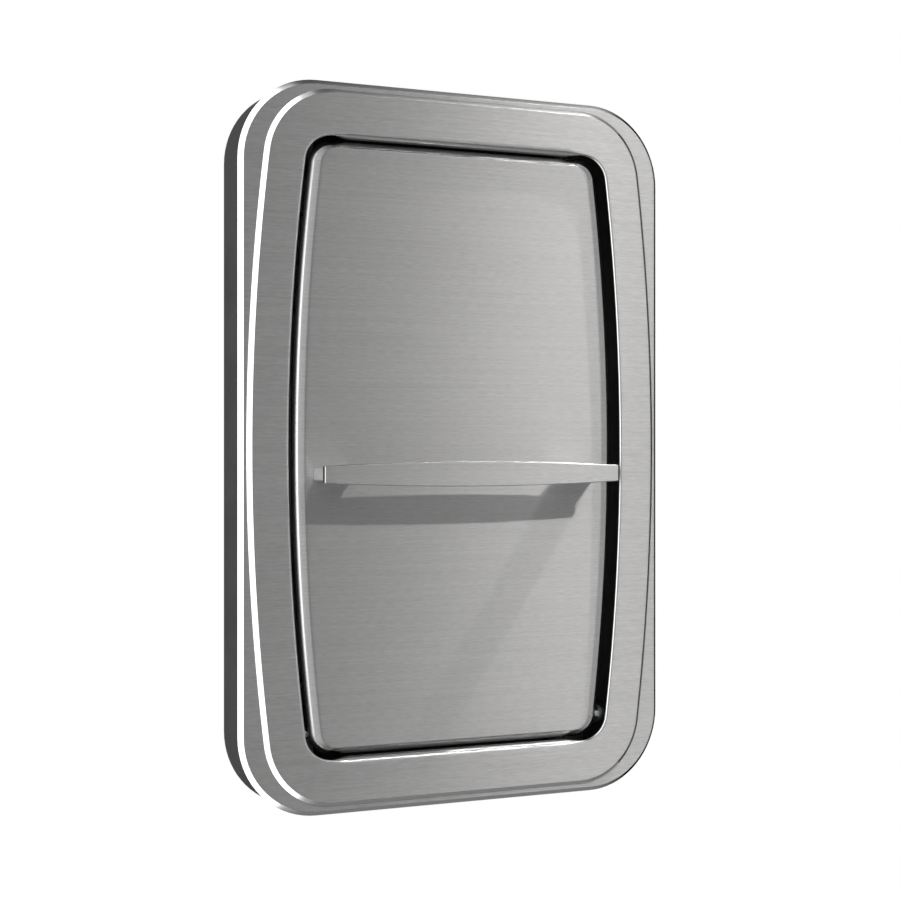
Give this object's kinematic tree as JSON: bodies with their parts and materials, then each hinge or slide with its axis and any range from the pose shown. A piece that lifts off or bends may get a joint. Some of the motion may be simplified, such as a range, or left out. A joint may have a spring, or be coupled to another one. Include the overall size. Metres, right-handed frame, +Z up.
{
  "type": "baby changing station",
  "caption": "Wall-hung folding baby changing station: steel-faced cabinet with a bowed door that swings down on a rod hinge to make a dished bed.",
  "frame": {"origin": "centre of the cabinet's back face, on the wall", "axes": "+X to the user's right, +Y into the wall, +Z up"},
  "size_m": [0.615, 0.119, 0.93],
  "materials": {
    "brushed_steel": "satin, fine horizontal brush lines",
    "charcoal_plastic": "matte textured moulding",
    "bed_plastic": "satin moulding",
    "zinc_steel": "zinc plated",
    "polished_rod": "ground and polished",
    "black_paint": "satin black",
    "buckle_plastic": "satin moulding",
    "rubber": "matte",
    "webbing": "woven webbing"
  },
  "bodies": {
    "cabinet": {"back_pan": "charcoal_plastic", "wall_flange": "brushed_steel", "door_surround": "brushed_steel", "mounting_rail_left": "zinc_steel", "mounting_rail_right": "zinc_steel", "hinge_bracket_left": "zinc_steel", "hinge_bracket_right": "zinc_steel", "hinge_rod": "polished_rod", "hinge_rod_clip_left": "zinc_steel", "hinge_rod_clip_right": "zinc_steel", "gas_anchor_left": "zinc_steel", "gas_anchor_right": "zinc_steel", "liner_box": "bed_plastic", "liner_cover": "bed_plastic", "catch_housing": "charcoal_plastic", "catch_magnet": "rubber", "rest_bumper_left": "rubber", "rest_bumper_right": "rubber"},
    "bed": {"door_skin": "brushed_steel", "bed_tray": "bed_plastic", "hinge_leaf_left": "zinc_steel", "hinge_leaf_right": "zinc_steel", "handle_bar": "brushed_steel", "handle_post_left": "brushed_steel", "handle_post_right": "brushed_steel", "strike_plate": "zinc_steel", "strap_left": "webbing", "strap_right": "webbing", "strap_anchor_left": "zinc_steel", "strap_anchor_right": "zinc_steel", "buckle_frame": "buckle_plastic", "buckle_pin": "polished_rod", "bag_hook_left": "zinc_steel", "bag_hook_right": "zinc_steel", "gas_lug_left": "zinc_steel", "gas_lug_right": "zinc_steel"},
    "buckle_lever": {"cam_lever": "buckle_plastic"},
    "gas_cylinder_left_body": {"gas_cylinder_left": "black_paint"},
    "gas_rod_left_body": {"gas_rod_left": "polished_rod"},
    "gas_cylinder_right_body": {"gas_cylinder_right": "black_paint"},
    "gas_rod_right_body": {"gas_rod_right": "polished_rod"}
  },
  "joints": [
    {"name": "bed_fold", "type": "hinge", "parent": "cabinet", "child": "bed", "pos_m": [0, -0.053, -0.362], "axis": [1, 0, 0], "range_deg": [0, 90]},
    {"name": "buckle_cam", "type": "hinge", "parent": "bed", "child": "buckle_lever", "pos_m": [0.008, -0.0477, 0], "axis": [0, 0, -1], "range_deg": [0, 80]},
    {"name": "gas_swing_left", "type": "hinge", "parent": "cabinet", "child": "gas_cylinder_left_body", "pos_m": [-0.2, -0.024, -0.1], "axis": [1, 0, 0], "range_deg": [-6.7, 0]},
    {"name": "gas_stroke_left", "type": "slide", "parent": "gas_cylinder_left_body", "child": "gas_rod_left_body", "axis": [0, -0.1016, -0.9948], "range_m": [0, 0.0275]},
    {"name": "gas_swing_right", "type": "hinge", "parent": "cabinet", "child": "gas_cylinder_right_body", "pos_m": [0.2, -0.024, -0.1], "axis": [1, 0, 0], "range_deg": [-6.7, 0]},
    {"name": "gas_stroke_right", "type": "slide", "parent": "gas_cylinder_right_body", "child": "gas_rod_right_body", "axis": [0, -0.1016, -0.9948], "range_m": [0, 0.0275]}
  ],
  "couplings": [
    {"joint": "gas_swing_left", "follows": "bed_fold", "ratio": -0.0718},
    {"joint": "gas_stroke_left", "follows": "bed_fold", "m_per_rad": 0.017068},
    {"joint": "gas_swing_right", "follows": "bed_fold", "ratio": -0.0718},
    {"joint": "gas_stroke_right", "follows": "bed_fold", "m_per_rad": 0.017068}
  ]
}
